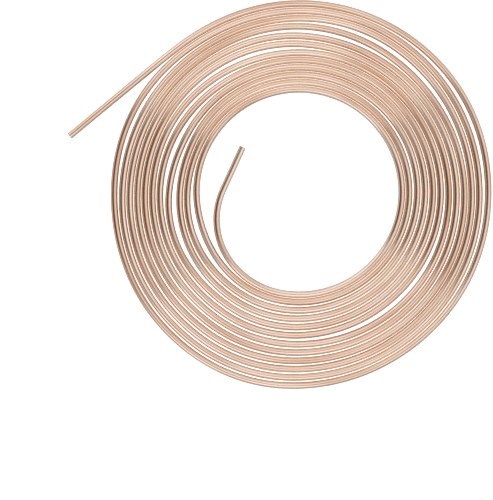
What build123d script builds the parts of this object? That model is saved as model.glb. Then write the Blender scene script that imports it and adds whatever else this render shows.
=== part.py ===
from build123d import *
import os
from math import atan2, cos, degrees, hypot, pi, radians, sin, sqrt

# Copper tube coil: one soft copper tube wound flat in a single layer, with its two ends free.
# Millimetres, +Z up. The coil lies on the floor, z = 0, and the middle of its eye is the origin.
# Angles are in degrees, counter-clockwise seen from above.

# The tube: 3/16 inch outside, with a 0.028 inch wall, cut square and deburred
TUBE_OD = 4.7625
TUBE_WALL = 0.71
END_CHAMFER = 0.2

# The winding, from the inside out. The eye is the circle of the innermost turn's centre line. Its
# middle lies a little to the -X side of the origin, because the gaps are wider on the +X side
EYE_RADIUS = 71.4
EYE_SHIFT = 0.5
START_ANGLE = -100
END_ANGLE = 129
WHOLE_TURNS = 11
STATION_STEP = 30

# The innermost turn steps out over the inner tail from this share of the turn on
STEP_OUT_FROM = 0.8

# Clear gap between neighbouring turns, and the places where they stand further apart. Gap 1 is the
# innermost: (first gap, last gap, middle of the place, reach to each side, opening)
SNUG_GAP = 0.38
LOOSE_PLACES = [
    (1, 1, 200, 45, 2.2),
    (1, 10, 247, 82, 0.76),
    (2, 2, 30, 50, 0.6),
    (2, 8, 340, 70, 0.35),
    (3, 3, 150, 45, 0.4),
    (3, 3, 190, 45, 2.5),
    (4, 4, 160, 40, 2.3),
    (5, 5, 140, 45, 1.2),
    (6, 6, 112, 45, 1.8),
    (6, 6, 310, 60, 1.8),
    (7, 7, 95, 45, 0.4),
    (8, 8, 80, 45, 1.8),
    (9, 9, 52, 55, 2.1),
    (10, 10, 155, 40, 1.6),
    (10, 10, 20, 50, 0.3),
    (11, 11, 30, 45, 1.5),
    (11, 11, 350, 60, 0.7),
]

# The free ends: the bends of each from the coil on, as (radius, turn), and then its straight end
INNER_BENDS = [(56, 47), (49, 58)]
INNER_END_STRAIGHT = 33
OUTER_BENDS = [(450, 2.8)]
OUTER_END_STRAIGHT = 78

BORE = TUBE_OD - 2 * TUBE_WALL
MID_HEIGHT = TUBE_OD / 2


def gap(wound):
    """Clear gap outside the tube, at the angle wound since the start of the innermost turn."""
    clear = SNUG_GAP
    for first, last, middle, reach, opening in LOOSE_PLACES:
        for turn in range(first, last + 1):
            away = abs(wound - 360 * (turn - 1) - (middle - START_ANGLE) % 360)
            if away < reach:
                clear += opening * cos(radians(90 * away / reach)) ** 2
    return clear


def radius_at(wound):
    """Radius of the centre line: each turn lies outside the one before it."""
    if wound >= 360:
        return radius_at(wound - 360) + TUBE_OD + gap(wound - 360)
    late = max(0, (wound / 360 - STEP_OUT_FROM) / (1 - STEP_OUT_FROM))
    stepped_out = late**2 * (3 - 2 * late) * (TUBE_OD + gap(0))
    return EYE_RADIUS - EYE_SHIFT * cos(radians(START_ANGLE + wound)) + stepped_out


def spot(wound):
    """Point of the centre line, seen from above."""
    angle = radians(START_ANGLE + wound)
    return radius_at(wound) * cos(angle), radius_at(wound) * sin(angle)


def heading(wound, reach=8):
    """Direction of the centre line, in radians, taken over a short stretch of it."""
    (x_before, y_before), (x_after, y_after) = spot(wound - reach), spot(wound + reach)
    return atan2(y_after - y_before, x_after - x_before)


def moved(point, direction, distance):
    return point[0] + distance * cos(direction), point[1] + distance * sin(direction)


def meeting_point(start, start_heading, end, end_heading):
    """Where two arcs meet that join two stations with no kink."""
    opening_x = cos(start_heading) - cos(end_heading)
    opening_y = sin(start_heading) - sin(end_heading)
    along = (end[0] - start[0]) * (cos(start_heading) + cos(end_heading))
    along += (end[1] - start[1]) * (sin(start_heading) + sin(end_heading))
    bend = opening_x**2 + opening_y**2
    chord = hypot(end[0] - start[0], end[1] - start[1])
    reach = (sqrt(along**2 + bend * chord**2) - along) / bend
    return (start[0] + end[0] + reach * opening_x) / 2, (start[1] + end[1] + reach * opening_y) / 2


def arc_to(start, start_heading, end):
    """The arc that leaves start on its heading and ends at end: (start, heading, radius, turn)."""
    chord_heading = atan2(end[1] - start[1], end[0] - start[0])
    half_turn = (chord_heading - start_heading + pi) % (2 * pi) - pi
    radius = hypot(end[0] - start[0], end[1] - start[1]) / 2 / sin(half_turn)
    return start, start_heading, radius, 2 * half_turn


def coiled_arcs():
    """The turns as pairs of arcs from station to station."""
    total = 360 * WHOLE_TURNS + END_ANGLE - START_ANGLE
    steps = round(total / STATION_STEP)
    stations = [total * i / steps for i in range(steps + 1)]
    arcs = []
    for wound, following in zip(stations, stations[1:]):
        start, direction = spot(wound), heading(wound)
        middle = meeting_point(start, direction, spot(following), heading(following))
        for target in (middle, spot(following)):
            arcs.append(arc_to(start, direction, target))
            start, direction = target, direction + arcs[-1][3]
    return arcs, start, direction


def bent_end(start, direction, bends, way):
    """The bends of a free end. The way is 1 onwards along the tube, and -1 back along it."""
    arcs = []
    for radius, turn in bends:
        arcs.append((start, direction, radius, way * radians(turn)))
        centre = moved(start, direction + pi / 2, radius)
        direction += way * radians(turn)
        start = moved(centre, direction - pi / 2, radius)
    return arcs, start, direction


def ring(point, direction, radius):
    """Circle round the centre line, square to it."""
    plane = Plane((*point, MID_HEIGHT), x_dir=(0, 0, 1), z_dir=(cos(direction), sin(direction), 0))
    return Edge.make_circle(radius, plane)


def straight_wall(point, direction, length, radius):
    return Face.extrude(ring(point, direction, radius), (*moved((0, 0), direction, length), 0))


def bent_wall(point, direction, bend_radius, turn, radius):
    centre = moved(point, direction + pi / 2, bend_radius)
    axis = Axis((*centre, 0), (0, 0, 1 if turn > 0 else -1))
    return Face.revolve(ring(point, direction, radius), degrees(abs(turn)), axis)


def end_face(point, direction):
    outside, bore = (Wire([ring(point, direction, size / 2)]) for size in (TUBE_OD, BORE))
    return Face(outside, [bore])


turns, coil_end, end_heading = coiled_arcs()
coil_start, start_heading = turns[0][:2]
inner_bends, inner_bent, inner_heading = bent_end(coil_start, start_heading, INNER_BENDS, -1)
outer_bends, outer_bent, outer_heading = bent_end(coil_end, end_heading, OUTER_BENDS, 1)
inner_end = moved(inner_bent, inner_heading, -INNER_END_STRAIGHT)
outer_end = moved(outer_bent, outer_heading, OUTER_END_STRAIGHT)
arcs = inner_bends + turns + outer_bends

# The outside and the bore are one closed wall, joined by the two cut ends
walls = [end_face(inner_end, inner_heading), end_face(outer_end, outer_heading)]
for size in (TUBE_OD, BORE):
    walls.append(straight_wall(inner_end, inner_heading, INNER_END_STRAIGHT, size / 2))
    walls += [bent_wall(*arc, size / 2) for arc in arcs]
    walls.append(straight_wall(outer_bent, outer_heading, OUTER_END_STRAIGHT, size / 2))
copper_tube = Solid(Shell(walls))
cut_faces = copper_tube.faces().filter_by(GeomType.PLANE)
copper_tube = copper_tube.chamfer(END_CHAMFER, None, cut_faces.edges())

length = INNER_END_STRAIGHT + OUTER_END_STRAIGHT
length += sum(abs(radius * turn) for _, _, radius, turn in arcs)
section = pi * (TUBE_OD**2 - BORE**2) / 4
radii = [abs(arc[2]) for arc in arcs]
print(f"length {length:.0f} mm, radii {min(radii):.1f} to {max(radii):.1f} mm")
print(f"volume {copper_tube.volume:.1f} mm3, section by length {section * length:.1f} mm3")
for name, point, direction in (
    ("inner end", inner_end, inner_heading + pi),
    ("outer end", outer_end, outer_heading),
):
    print(f"{name} at {point[0]:.3f}, {point[1]:.3f}, facing {degrees(direction) % 360:.3f} degrees")

os.makedirs("parts", exist_ok=True)
export_step(copper_tube, "parts/copper_tube.step")
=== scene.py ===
"""Dresses the coil of soft copper tube: drawn straight, cut at both ends, then wound flat."""

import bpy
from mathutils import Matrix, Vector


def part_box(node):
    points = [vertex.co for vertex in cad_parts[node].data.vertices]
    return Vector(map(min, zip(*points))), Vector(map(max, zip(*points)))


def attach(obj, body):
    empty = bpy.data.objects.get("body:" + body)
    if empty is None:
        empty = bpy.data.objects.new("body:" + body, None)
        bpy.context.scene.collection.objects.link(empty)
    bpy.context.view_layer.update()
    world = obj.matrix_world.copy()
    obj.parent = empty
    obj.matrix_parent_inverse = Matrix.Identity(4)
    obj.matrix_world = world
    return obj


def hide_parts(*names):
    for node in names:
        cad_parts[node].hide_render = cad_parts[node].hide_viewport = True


bl_info = {
    "name": "Copper tube coil",
    "version": (1, 0, 0),
    "blender": (4, 5, 0),
    "location": "3D View > Sidebar > Coil",
    "description": "Draws and winds a flat coil of soft copper tube, and lights it in a white studio",
    "category": "Object",
}

from bisect import bisect_right
from math import atan2, cos, hypot, pi, radians, sin, sqrt

import bmesh
import bpy
from bpy.props import FloatProperty, FloatVectorProperty, IntProperty, PointerProperty, StringProperty
from mathutils import Matrix, Vector

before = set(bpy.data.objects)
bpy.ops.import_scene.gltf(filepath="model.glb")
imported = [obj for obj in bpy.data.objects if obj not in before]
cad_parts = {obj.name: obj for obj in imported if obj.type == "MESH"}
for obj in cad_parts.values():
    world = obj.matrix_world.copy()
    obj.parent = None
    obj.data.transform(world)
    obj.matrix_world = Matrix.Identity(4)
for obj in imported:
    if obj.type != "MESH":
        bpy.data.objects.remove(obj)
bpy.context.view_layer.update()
TUBE_NODE = "copper_tube"
tube_low, tube_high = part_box(TUBE_NODE)

MM = 0.001

# Marks on the copper: (width, length along the tube). The finest real drawn lines, hundredths of a
# millimetre wide, are too fine to show, so they are drawn 0.35 mm wide
DRAWN_LINES = (0.35 * MM, 60 * MM)
STREAKS = (1.2 * MM, 90 * MM)
BROWN_PATCHES = (5 * MM, 70 * MM)
BORE_STAINS = (1.5 * MM, 8 * MM)
CUT_RING_WIDTH = 0.08 * MM
MARK_DEPTH = 0.02 * MM

# Edges that turn by more than this, in degrees, stay crisp. Points nearer than this are one point
CRISP_ANGLE = 40
MERGE_DISTANCE = 0.001 * MM

# The floor is a disc. The sensor, in millimetres, lies along the picture's height
FLOOR_RADIUS = 3
FLOOR_SIDES = 64
SENSOR = 36
NEAREST_SEEN, FARTHEST_SEEN = 0.01, 20

# How soft the screens' edges are, in degrees to each side
SCREEN_SOFTNESS = 6

# The floor counts as a narrow gap where less than the first share of the air within reach is open,
# and as plain floor from the second share on
# In the narrow gaps the floor shows a painted glow, cream and brighter than white, in place of the
# copper's light
GAP_REACH = 20 * MM
NARROW_GAP, PLAIN_FLOOR = 0.06, 0.2

# Places where neighbouring turns stand further apart. Gap 1 is the innermost: (first gap, last gap,
# middle of the place and reach to each side in degrees, opening in metres)
LOOSE_PLACES = [
    (1, 1, 200, 45, 0.0022),
    (1, 10, 247, 82, 0.00076),
    (2, 2, 30, 50, 0.0006),
    (2, 8, 340, 70, 0.00035),
    (3, 3, 150, 45, 0.0004),
    (3, 3, 190, 45, 0.0025),
    (4, 4, 160, 40, 0.0023),
    (5, 5, 140, 45, 0.0012),
    (6, 6, 112, 45, 0.0018),
    (6, 6, 310, 60, 0.0018),
    (7, 7, 95, 45, 0.0004),
    (8, 8, 80, 45, 0.0018),
    (9, 9, 52, 55, 0.0021),
    (10, 10, 155, 40, 0.0016),
    (10, 10, 20, 50, 0.0003),
    (11, 11, 30, 45, 0.0015),
    (11, 11, 350, 60, 0.0007),
]

# The bends of each free end from the coil on: (radius in metres, turn in degrees)
INNER_BENDS = [(0.056, 47), (0.049, 58)]
OUTER_BENDS = [(0.45, 2.8)]


class CoilTube(bpy.types.PropertyGroup):
    """Sizes of the tube and of its winding"""

    outside: FloatProperty(
        name="Outside diameter", description="Diameter of the tube over its outside",
        default=tube_high.z - tube_low.z, min=MM, unit="LENGTH")
    wall: FloatProperty(
        name="Wall", description="Thickness of the tube's wall",
        default=0.00071, min=0.1 * MM, unit="LENGTH")
    chamfer: FloatProperty(
        name="Deburring", description="Width of the bevel inside and outside each cut end",
        default=0.0002, min=0.01 * MM, unit="LENGTH")
    eye: FloatProperty(
        name="Eye radius", description="Radius of the innermost turn's centre line",
        default=0.0714, min=10 * MM, unit="LENGTH")
    eye_shift: FloatProperty(
        name="Eye shift", description="How far the middle of the innermost turn lies to the -X side",
        default=0.0005, unit="LENGTH")
    snug_gap: FloatProperty(
        name="Snug gap", description="Clear gap between turns where they lie closest",
        default=0.00038, min=0, unit="LENGTH")
    start_angle: FloatProperty(
        name="Start", description="Angle at which the innermost turn starts, in degrees", default=-100)
    end_angle: FloatProperty(
        name="End", description="Angle at which the outer end leaves the coil, in degrees", default=129)
    whole_turns: IntProperty(
        name="Whole turns", description="Number of whole turns before the last part of a turn",
        default=11, min=1)
    station_step: FloatProperty(
        name="Station step", description="Angle from one station of the winding to the next, in degrees",
        default=30, min=1)
    step_out_from: FloatProperty(
        name="Steps out from",
        description="Share of the innermost turn after which it steps out over the inner end",
        default=0.8, min=0, max=0.95)
    inner_end: FloatProperty(
        name="Inner straight end", description="Length of the straight end in the eye",
        default=0.033, min=MM, unit="LENGTH")
    outer_end: FloatProperty(
        name="Outer straight end", description="Length of the straight end outside the coil",
        default=0.078, min=MM, unit="LENGTH")
    facets: IntProperty(
        name="Facets", description="Number of faces round the tube", default=24, min=8)
    stretch: FloatProperty(
        name="Stretch", description="Length of one face along the tube",
        default=0.0045, min=MM, unit="LENGTH")


class CoilFinish(bpy.types.PropertyGroup):
    """Colours of the copper and of the studio, as sRGB hex values"""

    copper: StringProperty(name="Copper", description="Bright drawn copper", default="#FEE6D4")
    tarnish: StringProperty(
        name="Tarnish", description="Copper where it has begun to brown", default="#DCA682")
    cut: StringProperty(
        name="Cut copper", description="Freshly cut, silvery copper at the ends", default="#E2D0C6")
    bore: StringProperty(name="Bore", description="Dull copper inside the tube", default="#8A5A45")
    floor: StringProperty(name="Floor", description="Pale studio floor", default="#D0D6D8")
    floor_glow: StringProperty(
        name="Floor glow", description="Light that the floor gives the copper from below",
        default="#34484F")
    # Painted glow: the cream that the narrowest gaps show, in place of light thrown by the copper beside
    # them
    painted_gap_glow: StringProperty(
        name="Painted gap glow", description="The floor as it shows in the narrowest gaps", default="#F4E2CE")
    gap_light: FloatProperty(
        name="Gap light",
        description="How many times as bright as its colour the floor shows in the narrowest gaps",
        default=1.8, min=0)


class CoilStudio(bpy.types.PropertyGroup):
    """Camera and light"""

    frame_centre: FloatVectorProperty(
        name="Frame centre", description="Point of the floor in the middle of the picture",
        size=2, default=(-0.0371, -0.0403), unit="LENGTH")
    frame_height: FloatProperty(
        name="Frame height", description="Height of the picture on the floor",
        default=0.3485, unit="LENGTH")
    camera_height: FloatProperty(
        name="Camera height", description="Height of the camera over the floor",
        default=1.3, unit="LENGTH")
    overhead: FloatProperty(
        name="Overhead", description="Brightness of the room right overhead, where no screen hangs",
        default=0.35, min=0)


def linear(hex_colour):
    """Linear colour from an sRGB hex value."""
    shares = [int(hex_colour[i:i + 2], 16) / 255 for i in (1, 3, 5)]
    return [s / 12.92 if s <= 0.04045 else ((s + 0.055) / 1.055) ** 2.4 for s in shares] + [1]


def add(tree, kind, inputs=None, **settings):
    """Adds a node. Inputs are values, or the sockets that feed them."""
    node = tree.nodes.new(kind)
    for name, value in settings.items():
        setattr(node, name, value)
    for name, value in (inputs or {}).items():
        if isinstance(value, bpy.types.NodeSocket):
            tree.links.new(value, node.inputs[name])
        else:
            node.inputs[name].default_value = value
    return node


def new_material(name):
    """An empty material and its tree."""
    material = bpy.data.materials.new(name)
    material.use_nodes = True
    material.node_tree.nodes.clear()
    return material, material.node_tree


def marks(tree, size, detail, roughness=0.5):
    """Uneven marks of a real width and length, drawn out along the tube, as a share from 0 to 1."""
    width, length = size
    place = add(tree, "ShaderNodeAttribute", attribute_name="straightened")
    scaled = add(tree, "ShaderNodeMapping", {
        "Vector": place.outputs["Vector"], "Scale": (1 / width, 1 / width, 1 / length)})
    noise = add(tree, "ShaderNodeTexNoise", {
        "Vector": scaled.outputs["Vector"], "Scale": 1, "Detail": detail, "Roughness": roughness})
    return noise.outputs["Fac"]


def drawn_copper(finish):
    """Bright copper pulled through a die: fine lines and streaks along it, and a first faint browning."""
    material, tree = new_material("copper_drawn_bright")
    lines = marks(tree, DRAWN_LINES, detail=3, roughness=0.6)
    browning = add(tree, "ShaderNodeMapRange", {
        "Value": marks(tree, BROWN_PATCHES, detail=4, roughness=0.55),
        "From Min": 0.42, "From Max": 0.72, "To Min": 0.0, "To Max": 0.5})
    streaking = add(tree, "ShaderNodeMapRange", {
        "Value": marks(tree, STREAKS, detail=2, roughness=0.6),
        "From Min": 0.45, "From Max": 0.65, "To Min": 0.0, "To Max": 0.45})
    worn = add(tree, "ShaderNodeMath", {
        0: browning.outputs["Result"], 1: streaking.outputs["Result"]}, operation="ADD", use_clamp=True)
    colour = add(tree, "ShaderNodeMix", {
        "Factor": worn.outputs["Value"], "A": linear(finish.copper), "B": linear(finish.tarnish)},
        data_type="RGBA")
    roughness = add(tree, "ShaderNodeMapRange", {
        "Value": lines, "From Min": 0.3, "From Max": 0.7, "To Min": 0.1, "To Max": 0.2})
    bump = add(tree, "ShaderNodeBump", {"Height": lines, "Strength": 0.2, "Distance": MARK_DEPTH})
    shader = add(tree, "ShaderNodeBsdfPrincipled", {
        "Base Color": colour.outputs["Result"], "Metallic": 1.0,
        "Roughness": roughness.outputs["Result"], "Normal": bump.outputs["Normal"]})
    add(tree, "ShaderNodeOutputMaterial", {"Surface": shader.outputs["BSDF"]})
    return material


def cut_copper(finish):
    """Copper parted by a cutting wheel: pale, bright rings round the bore."""
    material, tree = new_material("copper_cut_bright")
    place = add(tree, "ShaderNodeAttribute", attribute_name="straightened")
    parts = add(tree, "ShaderNodeSeparateXYZ", {"Vector": place.outputs["Vector"]})
    flat = add(tree, "ShaderNodeCombineXYZ", {"X": parts.outputs["X"], "Y": parts.outputs["Y"]})
    distance = add(tree, "ShaderNodeVectorMath", {0: flat.outputs["Vector"]}, operation="LENGTH")
    rings = add(tree, "ShaderNodeTexNoise", {
        "W": distance.outputs["Value"], "Scale": 1 / CUT_RING_WIDTH, "Detail": 2}, noise_dimensions="1D")
    bump = add(tree, "ShaderNodeBump", {
        "Height": rings.outputs["Fac"], "Strength": 0.4, "Distance": MARK_DEPTH})
    shader = add(tree, "ShaderNodeBsdfPrincipled", {
        "Base Color": linear(finish.cut), "Metallic": 1.0, "Roughness": 0.28,
        "Normal": bump.outputs["Normal"]})
    add(tree, "ShaderNodeOutputMaterial", {"Surface": shader.outputs["BSDF"]})
    return material


def dull_bore(finish):
    """The inside of the tube: the same copper, darker brown and duller than the outside."""
    material, tree = new_material("copper_bore_dull")
    roughness = add(tree, "ShaderNodeMapRange", {
        "Value": marks(tree, BORE_STAINS, detail=4),
        "From Min": 0.3, "From Max": 0.7, "To Min": 0.4, "To Max": 0.6})
    shader = add(tree, "ShaderNodeBsdfPrincipled", {
        "Base Color": linear(finish.bore), "Metallic": 1.0, "Roughness": roughness.outputs["Result"]})
    add(tree, "ShaderNodeOutputMaterial", {"Surface": shader.outputs["BSDF"]})
    return material


def gap(tube, wound):
    """Clear gap outside the tube, at the angle wound since the start of the innermost turn."""
    clear = tube.snug_gap
    for first, last, middle, reach, opening in LOOSE_PLACES:
        for turn in range(first, last + 1):
            away = abs(wound - 360 * (turn - 1) - (middle - tube.start_angle) % 360)
            if away < reach:
                clear += opening * cos(radians(90 * away / reach)) ** 2
    return clear


def radius_at(tube, wound):
    """Radius of the centre line: each turn lies outside the one before it."""
    if wound >= 360:
        return radius_at(tube, wound - 360) + tube.outside + gap(tube, wound - 360)
    late = max(0, (wound / 360 - tube.step_out_from) / (1 - tube.step_out_from))
    stepped_out = late**2 * (3 - 2 * late) * (tube.outside + gap(tube, 0))
    return tube.eye - tube.eye_shift * cos(radians(tube.start_angle + wound)) + stepped_out


def ray(direction):
    """Unit vector along the floor, from its direction in radians."""
    return Vector((cos(direction), sin(direction)))


def spot(tube, wound):
    """Point of the centre line, seen from above."""
    return radius_at(tube, wound) * ray(radians(tube.start_angle + wound))


def heading(tube, wound, reach=8):
    """Direction of the centre line, in radians, taken over a short stretch of it."""
    stretch = spot(tube, wound + reach) - spot(tube, wound - reach)
    return atan2(stretch.y, stretch.x)


def meeting_point(start, start_heading, end, end_heading):
    """Where two arcs meet that join two stations with no kink."""
    opening = ray(start_heading) - ray(end_heading)
    along = (end - start).dot(ray(start_heading) + ray(end_heading))
    bend = opening.length_squared
    reach = (sqrt(along**2 + bend * (end - start).length_squared) - along) / bend
    return (start + end + reach * opening) / 2


def arc_to(start, start_heading, end):
    """The arc that leaves start on its heading and ends at end: (start, heading, radius, turn)."""
    chord = end - start
    half_turn = (atan2(chord.y, chord.x) - start_heading + pi) % (2 * pi) - pi
    return start, start_heading, chord.length / 2 / sin(half_turn), 2 * half_turn


def coiled_arcs(tube):
    """The turns as pairs of arcs from station to station."""
    total = 360 * tube.whole_turns + tube.end_angle - tube.start_angle
    steps = round(total / tube.station_step)
    stations = [total * i / steps for i in range(steps + 1)]
    arcs = []
    for wound, following in zip(stations, stations[1:]):
        start, direction = spot(tube, wound), heading(tube, wound)
        end = spot(tube, following)
        middle = meeting_point(start, direction, end, heading(tube, following))
        for target in (middle, end):
            arcs.append(arc_to(start, direction, target))
            start, direction = target, direction + arcs[-1][3]
    return arcs, start, direction


def bent_end(start, direction, bends, way):
    """The bends of a free end, in the order and the sense of the tube. The way is 1 onwards, -1 back."""
    arcs = []
    for radius, turn in bends:
        centre = start + radius * ray(direction + pi / 2)
        far_direction = direction + way * radians(turn)
        far = centre + radius * ray(far_direction - pi / 2)
        if way > 0:
            arcs.append((start, direction, radius, radians(turn)))
        else:
            arcs.insert(0, (far, far_direction, radius, radians(turn)))
        start, direction = far, far_direction
    return arcs, start, direction


class Route:
    """The centre line from the inner end to the outer one, as arcs and two straight runs."""

    def __init__(self, tube):
        turns, coil_end, end_heading = coiled_arcs(tube)
        inner_bends, inner_bent, inner_heading = bent_end(*turns[0][:2], INNER_BENDS, -1)
        outer_bends, outer_bent, outer_heading = bent_end(coil_end, end_heading, OUTER_BENDS, 1)
        inner_run = (inner_bent - tube.inner_end * ray(inner_heading), inner_heading, tube.inner_end)
        outer_run = (outer_bent, outer_heading, tube.outer_end)
        self.pieces = [inner_run, *inner_bends, *turns, *outer_bends, outer_run]
        self.starts = [0]
        for piece in self.pieces:
            self.starts.append(self.starts[-1] + self.piece_length(piece))
        self.length = self.starts[-1]

    @staticmethod
    def piece_length(piece):
        """Length of a run (start, heading, length) or an arc (start, heading, radius, turn)."""
        return piece[2] if len(piece) == 3 else abs(piece[2] * piece[3])

    def place(self, along):
        """Point and heading of the centre line at a distance from the inner end."""
        number = min(max(bisect_right(self.starts, along) - 1, 0), len(self.pieces) - 1)
        start, direction, radius, *turn = self.pieces[number]
        passed = along - self.starts[number]
        if not turn:
            return start + passed * ray(direction), direction
        centre = start + radius * ray(direction + pi / 2)
        direction += passed / radius
        return centre + radius * ray(direction - pi / 2), direction


def edges_between(bm, verts):
    """The edges whose two ends are both among some vertices."""
    chosen = set(verts)
    return [e for e in bm.edges if chosen.issuperset(e.verts)]


def step_to(bm, ring, radius, distance=0):
    """Extrudes a ring to another radius and along the tube."""
    before = hypot(ring[0].co.x, ring[0].co.y)
    pulled = bmesh.ops.extrude_edge_only(bm, edges=edges_between(bm, ring))
    ring = [v for v in pulled["geom"] if isinstance(v, bmesh.types.BMVert)]
    bmesh.ops.scale(bm, verts=ring, vec=(radius / before, radius / before, 1))
    bmesh.ops.translate(bm, verts=ring, vec=(0, 0, distance))
    return ring


def straight_tube(bm, tube, length):
    """The tube as it is drawn and cut: outside, one cut end, bore, the other cut end."""
    outside, bore, bevel = tube.outside / 2, tube.outside / 2 - tube.wall, tube.chamfer
    ring = bmesh.ops.create_circle(
        bm, segments=tube.facets, radius=outside, matrix=Matrix.Translation((0, 0, bevel)))["verts"]
    ring = step_to(bm, ring, outside, length - 2 * bevel)
    ring = step_to(bm, ring, outside - bevel, bevel)
    ring = step_to(bm, ring, bore + bevel)
    ring = step_to(bm, ring, bore, -bevel)
    ring = step_to(bm, ring, bore, 2 * bevel - length)
    ring = step_to(bm, ring, bore + bevel, -bevel)
    ring = step_to(bm, ring, outside - bevel)
    step_to(bm, ring, outside, bevel)
    # The last ring lies on the first one, and closes the tube with it
    bmesh.ops.remove_doubles(bm, verts=bm.verts, dist=MERGE_DISTANCE)
    bmesh.ops.recalc_face_normals(bm, faces=bm.faces)
    long_edges = [e for e in bm.edges if e.calc_length() > length / 2]
    cuts = round(length / tube.stretch) - 1
    bmesh.ops.subdivide_edges(bm, edges=long_edges, cuts=cuts, use_grid_fill=False)


def finish_faces(bm, tube, length):
    """Marks each face as drawn outside, cut end or bore, and keeps the edges of the cuts crisp."""
    outside, bore = tube.outside / 2, tube.outside / 2 - tube.wall
    mid_wall = (outside + bore) / 2
    end_reach = tube.chamfer + MERGE_DISTANCE
    for face in bm.faces:
        face.smooth = True
        if all(min(v.co.z, length - v.co.z) < end_reach for v in face.verts):
            face.material_index = 1
        elif min(hypot(v.co.x, v.co.y) for v in face.verts) > mid_wall:
            face.material_index = 0
        else:
            face.material_index = 2
    for edge in bm.edges:
        if len(edge.link_faces) == 2 and edge.calc_face_angle() > radians(CRISP_ANGLE):
            edge.smooth = False


def wind(bm, tube, route):
    """Bends the straight tube along the route, and keeps where each point was on it."""
    straightened = bm.verts.layers.float_vector.new("straightened")
    for vert in bm.verts:
        vert[straightened] = vert.co
        point, direction = route.place(vert.co.z)
        point += vert.co.x * ray(direction - pi / 2)
        vert.co = (point.x, point.y, tube.outside / 2 + vert.co.y)


class COIL_OT_copper_tube(bpy.types.Operator):
    """Draws the tube straight, cuts its ends and winds it flat"""

    bl_idname = "coil.copper_tube"
    bl_label = "Copper tube"

    def execute(self, context):
        tube = context.scene.coil_tube
        finish = context.scene.coil_finish
        route = Route(tube)
        bm = bmesh.new()
        straight_tube(bm, tube, route.length)
        finish_faces(bm, tube, route.length)
        wind(bm, tube, route)
        mesh = bpy.data.meshes.new("wound_tube")
        bm.to_mesh(mesh)
        bm.free()
        for material in (drawn_copper(finish), cut_copper(finish), dull_bore(finish)):
            mesh.materials.append(material)
        piece = bpy.data.objects.new("wound_tube", mesh)
        context.scene.collection.objects.link(piece)
        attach(piece, "root")
        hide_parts(TUBE_NODE)
        return {"FINISHED"}


def grey(value):
    """A neutral colour of some brightness."""
    return (value, value, value, 1)


# The studio's screens, in degrees: (azimuth of the middle, counter-clockwise from +X; half the width;
# lower and upper edge, down from overhead; linear colour). A later screen hangs in front of earlier ones
SCREENS = [
    # White all round, and dimmer towards the floor
    (0, 180, 90, 8, grey(1.0)),
    (0, 180, 90, 58, grey(0.6)),
    # Just over the floor, dark at the bottom of the picture and bright at its top left
    (275, 60, 90, 76, grey(0.2)),
    (140, 75, 90, 79, grey(1.0)),
    # Two warm panels at the right, and a bright one at the bottom
    (45, 20, 57, 30, (0.78, 0.66, 0.57, 1)),
    (315, 16, 57, 42, (0.72, 0.64, 0.57, 1)),
    (280, 26, 44, 12, grey(1.12)),
    # Left of the camera, two dim patches overhead, with a bright strip below each
    (135, 18, 28, 0, grey(0.42)),
    (226, 24, 22, 0, grey(0.42)),
    (230, 13, 72, 34, grey(1.15)),
    (132, 13, 72, 34, grey(1.1)),
    # The dark opening at the left, and the dim strip beside it
    (203, 12, 70, 2, grey(0.38)),
    (171, 24, 68, 5, (0.15, 0.09, 0.06, 1)),
]


def screen(tree, level, height, azimuth, half_width, low, high):
    """How much of a screen fills each direction, from 0 to 1 over its soft edges."""
    edges = []
    if half_width < 180:
        middle = (cos(radians(azimuth)), sin(radians(azimuth)), 0)
        beside = add(tree, "ShaderNodeVectorMath", {0: level, 1: middle}, operation="DOT_PRODUCT")
        side = beside.outputs["Value"]
        edges.append((side, half_width + SCREEN_SOFTNESS, half_width - SCREEN_SOFTNESS))
    if high > 0:
        edges.append((height, max(high - SCREEN_SOFTNESS, 0), high + SCREEN_SOFTNESS))
    if low < 90:
        edges.append((height, low + SCREEN_SOFTNESS, low - SCREEN_SOFTNESS))
    share = 1.0
    for value, outside, inside in edges:
        edge = add(tree, "ShaderNodeMapRange", {
            "Value": value, "From Min": cos(radians(outside)), "From Max": cos(radians(inside)),
            "To Min": 0.0, "To Max": 1.0}, interpolation_type="SMOOTHSTEP")
        product = add(tree, "ShaderNodeMath", {0: share, 1: edge.outputs["Result"]}, operation="MULTIPLY")
        share = product.outputs["Value"]
    return share


def seen_as(tree, light, seen):
    """One light for the copper, and another for the camera."""
    path = add(tree, "ShaderNodeLightPath")
    chosen = add(tree, "ShaderNodeMix", {
        "Factor": path.outputs["Is Camera Ray"], "A": light, "B": seen}, data_type="RGBA")
    return chosen.outputs["Result"]


def studio_world(scene, studio):
    """White screens all round the coil, with a dark opening between them on the left."""
    world = bpy.data.worlds.new("studio")
    world.use_nodes = True
    tree = world.node_tree
    tree.nodes.clear()
    view = add(tree, "ShaderNodeTexCoord")
    parts = add(tree, "ShaderNodeSeparateXYZ", {"Vector": view.outputs["Generated"]})
    flat = add(tree, "ShaderNodeCombineXYZ", {"X": parts.outputs["X"], "Y": parts.outputs["Y"]})
    level = add(tree, "ShaderNodeVectorMath", {0: flat.outputs["Vector"]}, operation="NORMALIZE")
    colour = grey(studio.overhead)
    for *place, light in SCREENS:
        share = screen(tree, level.outputs["Vector"], parts.outputs["Z"], *place)
        mixed = add(tree, "ShaderNodeMix", {"Factor": share, "A": colour, "B": light}, data_type="RGBA")
        colour = mixed.outputs["Result"]
    background = add(tree, "ShaderNodeBackground", {
        "Color": seen_as(tree, colour, grey(1)), "Strength": 1.0})
    add(tree, "ShaderNodeOutputWorld", {"Surface": background.outputs["Background"]})
    scene.world = world


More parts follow.
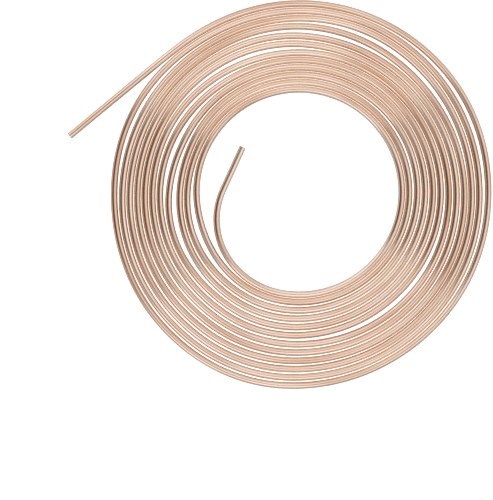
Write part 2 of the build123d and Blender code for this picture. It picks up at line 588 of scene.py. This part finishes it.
def pale_floor(finish):
    """White paper, exposed to pure white. The narrowest gaps get a painted glow, cream and brighter than
    white, in place of the copper's light.
    """
    material, tree = new_material("studio_floor_paper")
    around = add(tree, "ShaderNodeAmbientOcclusion", {"Distance": GAP_REACH}, samples=8)
    plain = add(tree, "ShaderNodeMapRange", {
        "Value": around.outputs["AO"], "From Min": NARROW_GAP, "From Max": PLAIN_FLOOR,
        "To Min": 0.0, "To Max": 1.0}, interpolation_type="SMOOTHSTEP")
    # Painted glow: in the narrowest gaps the floor shows cream, brighter than white, in place of the
    # copper's light
    cream = [finish.gap_light * part for part in linear(finish.painted_gap_glow)]
    paper = add(tree, "ShaderNodeMix", {
        "Factor": plain.outputs["Result"], "A": cream, "B": grey(1)}, data_type="RGBA")
    glow = seen_as(tree, linear(finish.floor_glow), paper.outputs["Result"])
    shader = add(tree, "ShaderNodeBsdfPrincipled", {
        "Base Color": linear(finish.floor), "Roughness": 0.6,
        "Emission Color": glow, "Emission Strength": 1.0})
    add(tree, "ShaderNodeOutputMaterial", {"Surface": shader.outputs["BSDF"]})
    return material


class COIL_OT_studio(bpy.types.Operator):
    """Lays the floor, hangs the light and sets the camera over the coil"""

    bl_idname = "coil.studio"
    bl_label = "Studio"

    def execute(self, context):
        scene = context.scene
        studio = scene.coil_studio
        bm = bmesh.new()
        bmesh.ops.create_circle(bm, cap_ends=True, segments=FLOOR_SIDES, radius=FLOOR_RADIUS)
        mesh = bpy.data.meshes.new("studio_floor")
        bm.to_mesh(mesh)
        bm.free()
        mesh.materials.append(pale_floor(scene.coil_finish))
        floor = bpy.data.objects.new("studio_floor", mesh)
        scene.collection.objects.link(floor)
        studio_world(scene, studio)
        camera = bpy.data.objects.new("camera", bpy.data.cameras.new("camera"))
        camera.data.sensor_width = SENSOR
        camera.data.lens = SENSOR * studio.camera_height / studio.frame_height
        camera.data.clip_start, camera.data.clip_end = NEAREST_SEEN, FARTHEST_SEEN
        camera.location = (*studio.frame_centre, studio.camera_height)
        scene.collection.objects.link(camera)
        scene.camera = camera
        scene.view_settings.view_transform = "Standard"
        return {"FINISHED"}


class COIL_PT_sidebar(bpy.types.Panel):
    """Lists the coil's sizes and finishes, and the buttons that make it"""

    bl_idname = "COIL_PT_sidebar"
    bl_label = "Copper tube coil"
    bl_space_type = "VIEW_3D"
    bl_region_type = "UI"
    bl_category = "Coil"

    def draw(self, context):
        for group in (context.scene.coil_tube, context.scene.coil_finish, context.scene.coil_studio):
            box = self.layout.box()
            for name in group.__annotations__:
                box.prop(group, name)
        for operator in (COIL_OT_studio, COIL_OT_copper_tube):
            self.layout.operator(operator.bl_idname)


CLASSES = (CoilTube, CoilFinish, CoilStudio, COIL_OT_studio, COIL_OT_copper_tube, COIL_PT_sidebar)
SETTINGS = {"coil_tube": CoilTube, "coil_finish": CoilFinish, "coil_studio": CoilStudio}


def register():
    for cls in CLASSES:
        bpy.utils.register_class(cls)
    for name, group in SETTINGS.items():
        setattr(bpy.types.Scene, name, PointerProperty(type=group))


def unregister():
    for name in SETTINGS:
        delattr(bpy.types.Scene, name)
    for cls in reversed(CLASSES):
        bpy.utils.unregister_class(cls)


def main():
    register()
    bpy.ops.coil.studio()
    bpy.ops.coil.copper_tube()


if __name__ == "__main__":
    main()
